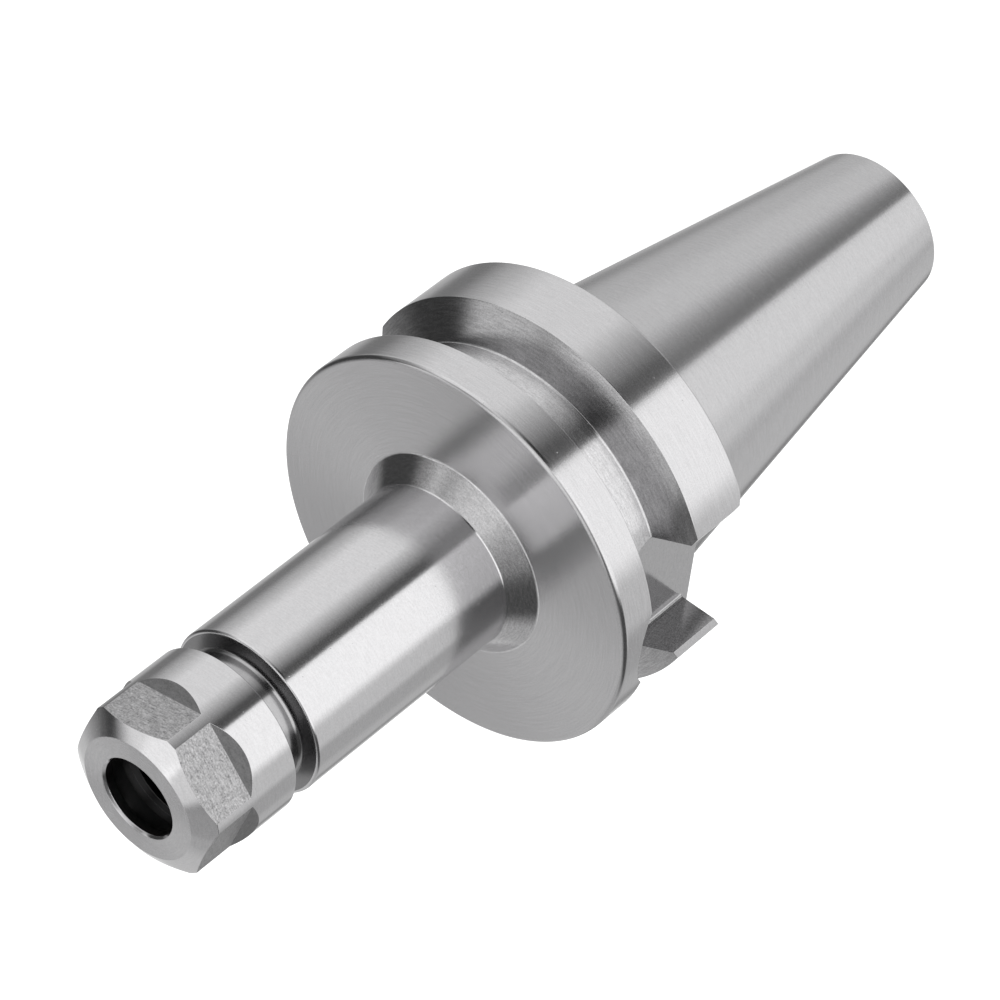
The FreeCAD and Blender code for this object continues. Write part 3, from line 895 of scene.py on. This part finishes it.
def nut_finish(face):
    """The finish of one face of the nut."""
    radius, z, outwards, upwards = ring_place(face)
    if upwards > LEANS_UP and radius < MOUTH_R + MOUTH_CHAMFER:
        return polished
    # The nut's back face looks down into the gap over the shoulder and takes the bores' painted shade.
    if outwards < LOOKS_INWARDS or radius < MOUTH_R or upwards < -ALONG_AXIS:
        return bore_oxide_and_shade
    if radius < NUT_THREAD_R + NUT_SINK + EDGE and z < NUT_FACE - MOUTH_CHAMFER:
        return bore_oxide_and_shade
    if upwards > FRONT_ON and z > NUT_FACE - EDGE:
        return faced
    across = max(face.normal.x * math.cos(a) + face.normal.y * math.sin(a)
                 for a in (FIRST_FLAT + k * 2 * math.pi / FLAT_COUNT for k in range(FLAT_COUNT)))
    if across > ON_A_FLAT and radius < NUT_R - HAIR:
        return blasted
    if upwards > BARELY_UP and z < NUT_FACE - FLAT_LENGTH + EDGE and radius < NUT_R - HAIR:
        return scalloped
    return polished


def paint(piece, choose):
    """Give each face the material that the rule chooses."""
    order = []
    for face in piece.data.polygons:
        material = choose(face)
        if material not in order:
            order.append(material)
            piece.data.materials.append(material)
        face.material_index = order.index(material)
    counts = {m.name: sum(f.material_index == i for f in piece.data.polygons) for i, m in enumerate(order)}
    print(piece.name, counts)


paint(holder, holder_finish)
paint(nut, nut_finish)

# %% [markdown]
# ## Riding on the frame
#
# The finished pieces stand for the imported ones. The holder stays still, and the nut turns with its
# own body.

# %% Tie the pieces to the frame
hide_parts("holder_body")
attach(holder, "holder")
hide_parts("clamping_nut")
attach(nut, "nut")

# %% [markdown]
# ## The studio
#
# Steel shows what stands round it more than it shows light. A product photographer puts a large
# softbox on one side, a white wall on the other, and black cards between, and the metal draws them
# as bands. Here those cards hang in five rings on a dome that only reflections can see. A card has
# a name, two edges in degrees and a level. Azimuths are counted from the camera, positive to the
# side of the picture's upper left.

# %% The reflected cards
DOME_RADIUS = 1.5
DOME_SEGMENTS = 64
DOME_RINGS = 32
FULL_CIRCLE = 360
TO_RAMP_MIDDLE = 1.5
FLOOR_TO_LOW = (-40.5, -36.5)
LOW_TO_MIDDLE = (-14.0, -4.0)
MIDDLE_TO_HIGH = (38.0, 44.0)
HIGH_TO_TOP = (63.0, 70.0)

FLOOR_CARDS = [
    ("white table, far", -180, -165, 0.72),
    ("edge of the table", -158, -153, 0.08),
    ("white table, right", -146, -101, 0.76),
    ("grey seam", -92, -88, 0.66),
    ("bright seam", -76, -71, 1.00),
    ("soft seam", -65, -62, 0.84),
    ("key softbox, lower edge", -52, 0, 1.12),
    ("grey flag, lower edge", 1.6, 12, 0.26),
    ("half light", 28, 29, 0.44),
    ("white table, left", 48, 80, 0.88),
    ("white table, far left", 98, 124, 0.72),
    ("dark corner", 138, 146, 0.40),
    ("white table, far", 158, 180, 0.70),
]
LOW_CARDS = [
    ("white wall, far", -180, -166, 0.74),
    ("dark gap", -156, -151, 0.30),
    ("grey wall, far", -145, -132, 0.52),
    ("grey wall, middle", -124, -101, 0.45),
    ("grey wall, near", -94, -69, 0.66),
    ("key softbox", -57, 0.4, 1.18),
    ("black flag", 1.8, 12, 0.09),
    ("white wall", 42, 86, 0.88),
    ("edge of the wall", 108, 110, 0.53),
    ("dark corner", 128, 142, 0.22),
    ("grey corner", 152, 160, 0.48),
    ("white wall, far", 172, 180, 0.80),
]
MIDDLE_CARDS = [
    ("back wall", -180, -150, 0.61),
    ("grey panel", -140, -127, 0.46),
    ("black card, right", -112, -72, 0.08),
    ("key softbox, upper half", -60, 0.4, 1.25),
    ("black flag, upper half", 1.8, 18, 0.03),
    ("white wall, upper half", 46, 74, 1.00),
    ("grey edge", 92, 97, 0.30),
    ("black card, left", 109, 139, 0.06),
    ("back wall", 163, 180, 0.61),
]
HIGH_CARDS = [
    ("dark rafter, back", -180, -166, 0.22),
    ("bright rail", -152, -144, 0.90),
    ("grey slope, right", -134, -120, 0.38),
    ("dark slope, right", -96, -68, 0.15),
    ("ceiling, front right", -26, -22, 0.50),
    ("ceiling, front", 0, 28, 0.76),
    ("ceiling, front left", 47, 50, 0.66),
    ("grey slope, left", 72, 86, 0.32),
    ("skylight, side", 104, 123, 0.92),
    ("dark rafter, left", 134, 138, 0.10),
    ("bright rail", 146, 152, 0.90),
    ("dark rafter, back", 164, 180, 0.22),
]
TOP_CARDS = [
    ("bright ceiling, back", -180, -146, 1.30),
    ("pale ceiling, right", -128, -70, 0.80),
    ("ceiling, front", -40, 60, 0.98),
    ("bright skylight", 92, 124, 1.10),
    ("bright ceiling, back", 150, 180, 1.30),
]


def card_ring(tree, share, cards):
    """A ramp round the azimuth: each card is even, and the light runs smoothly between two cards."""
    ramp = add_node(tree, "ShaderNodeValToRGB")
    stops = ramp.color_ramp.elements
    edges = [(edge, level) for _, left, right, level in cards for edge in (left, right)]
    for number, (edge, level) in enumerate(edges):
        at = (edge + FULL_CIRCLE / 2) / FULL_CIRCLE
        stop = stops[number] if number < 2 else stops.new(at)
        stop.position = at
        stop.color = (level, level, level, 1)
    tree.links.new(share, ramp.inputs["Fac"])
    return ramp.outputs["Color"]


def blend_rings(tree, elevation, limits, lower, upper):
    """Pass from one ring to the next between two elevations."""
    step = add_node(tree, "ShaderNodeMapRange", interpolation_type="SMOOTHSTEP")
    step.inputs["From Min"].default_value = math.radians(limits[0])
    step.inputs["From Max"].default_value = math.radians(limits[1])
    tree.links.new(elevation, step.inputs["Value"])
    mix = add_node(tree, "ShaderNodeMix", data_type="RGBA")
    tree.links.new(step.outputs[0], mix.inputs["Factor"])
    tree.links.new(lower, mix.inputs["A"])
    tree.links.new(upper, mix.inputs["B"])
    return mix.outputs["Result"]


def dome_material():
    """The share runs from 0 to 1 round the dome, with the camera's side in the middle."""
    material, tree = new_material("reflected_cards")
    place = add_node(tree, "ShaderNodeTexCoord")
    unit = add_node(tree, "ShaderNodeVectorMath", operation="NORMALIZE")
    tree.links.new(place.outputs["Object"], unit.inputs[0])
    split = add_node(tree, "ShaderNodeSeparateXYZ")
    tree.links.new(unit.outputs[0], split.inputs[0])
    x, y, z = split.outputs
    azimuth = math_node(tree, "SUBTRACT", math_node(tree, "ARCTAN2", y, x), CAMERA_AZIMUTH)
    turns = math_node(tree, "DIVIDE", azimuth, 2 * math.pi)
    share = math_node(tree, "FRACT", math_node(tree, "ADD", turns, TO_RAMP_MIDDLE))
    elevation = math_node(tree, "ARCSINE", z)
    ground_level = card_ring(tree, share, FLOOR_CARDS)
    low = card_ring(tree, share, LOW_CARDS)
    middle = card_ring(tree, share, MIDDLE_CARDS)
    high = card_ring(tree, share, HIGH_CARDS)
    top = card_ring(tree, share, TOP_CARDS)
    foot = blend_rings(tree, elevation, FLOOR_TO_LOW, ground_level, low)
    wall = blend_rings(tree, elevation, LOW_TO_MIDDLE, foot, middle)
    slope = blend_rings(tree, elevation, MIDDLE_TO_HIGH, wall, high)
    whole = blend_rings(tree, elevation, HIGH_TO_TOP, slope, top)
    glow = add_node(tree, "ShaderNodeEmission")
    tree.links.new(whole, glow.inputs["Color"])
    output = add_node(tree, "ShaderNodeOutputMaterial")
    tree.links.new(glow.outputs[0], output.inputs["Surface"])
    material.cycles.emission_sampling = "NONE"
    return material


bpy.ops.object.select_all(action="DESELECT")
bpy.ops.mesh.primitive_uv_sphere_add(segments=DOME_SEGMENTS, ring_count=DOME_RINGS, radius=DOME_RADIUS)
dome = bpy.context.object
dome.name = "card_dome"
dome.data.materials.append(dome_material())
for rays in ("camera", "diffuse", "shadow", "transmission", "volume_scatter"):
    setattr(dome, f"visible_{rays}", False)
rings = (FLOOR_CARDS, LOW_CARDS, MIDDLE_CARDS, HIGH_CARDS, TOP_CARDS)
print("dome with", sum(len(ring) for ring in rings), "cards")

# %% [markdown]
# ## Floor, lamps and background
#
# The part stands on a plain pale floor. It is painted grey, and a glow on top brings it to white,
# as in the photograph. At this level the part's shadow is lost in the white. Two soft lamps light
# the part, and the world is white for the camera and for reflections, and dimmer as a light.

# %% Build the floor, the lamps and the world
FLOOR_SIZE = 6.0
FLOOR_GLOW = 0.80
FLOOR_SHADE = 0.35
WORLD_LIGHT = 0.35


def seen_directly(tree):
    """1 for a ray from the camera, from a reflection or through glass, and 0 for the others."""
    path = add_node(tree, "ShaderNodeLightPath")
    seen = math_node(tree, "MAXIMUM", path.outputs["Is Camera Ray"], path.outputs["Is Glossy Ray"])
    return math_node(tree, "MAXIMUM", seen, path.outputs["Is Transmission Ray"])


def floor_material():
    """A grey paint, with a glow on top that brings it to white."""
    material, tree = new_material("pale_floor")
    paint_node = add_node(tree, "ShaderNodeBsdfDiffuse")
    paint_node.inputs["Color"].default_value = (FLOOR_SHADE, FLOOR_SHADE, FLOOR_SHADE, 1)
    glow = add_node(tree, "ShaderNodeEmission")
    glow.inputs["Color"].default_value = (1, 1, 1, 1)
    tree.links.new(math_node(tree, "MULTIPLY", seen_directly(tree), FLOOR_GLOW), glow.inputs["Strength"])
    both = add_node(tree, "ShaderNodeAddShader")
    tree.links.new(paint_node.outputs[0], both.inputs[0])
    tree.links.new(glow.outputs[0], both.inputs[1])
    output = add_node(tree, "ShaderNodeOutputMaterial")
    tree.links.new(both.outputs[0], output.inputs["Surface"])
    material.cycles.emission_sampling = "NONE"
    return material


bpy.ops.object.select_all(action="DESELECT")
bpy.ops.mesh.primitive_plane_add(size=FLOOR_SIZE, location=(0, 0, SMALL_END * MM))
floor = bpy.context.object
floor.name = "pale_floor"
floor.data.materials.append(floor_material())
floor.visible_glossy = False

LAMPS = [
    ("key_lamp", -35, 55, 1.2, 1.0, 22.0),
    ("fill_lamp", 75, 50, 1.2, 1.2, 14.0),
]
for name, azimuth, elevation, distance, size, power in LAMPS:
    away = direction(CAMERA_AZIMUTH + math.radians(azimuth), math.radians(elevation))
    bpy.ops.object.light_add(type="AREA", location=away * distance,
                             rotation=away.to_track_quat("Z", "Y").to_euler())
    lamp = bpy.context.object
    lamp.name = name
    lamp.data.size = size
    lamp.data.energy = power
    lamp.visible_glossy = False

world = bpy.data.worlds.new("studio")
bpy.context.scene.world = world
world.use_nodes = True
sky = world.node_tree
sky.nodes.clear()
strength = math_node(sky, "ADD", math_node(sky, "MULTIPLY", seen_directly(sky), 1 - WORLD_LIGHT),
                     WORLD_LIGHT)
background = add_node(sky, "ShaderNodeBackground")
background.inputs["Color"].default_value = (1, 1, 1, 1)
sky.links.new(strength, background.inputs["Strength"])
output = add_node(sky, "ShaderNodeOutputWorld")
sky.links.new(background.outputs[0], output.inputs["Surface"])
print("stage:", floor.name, [name for name, *_ in LAMPS])
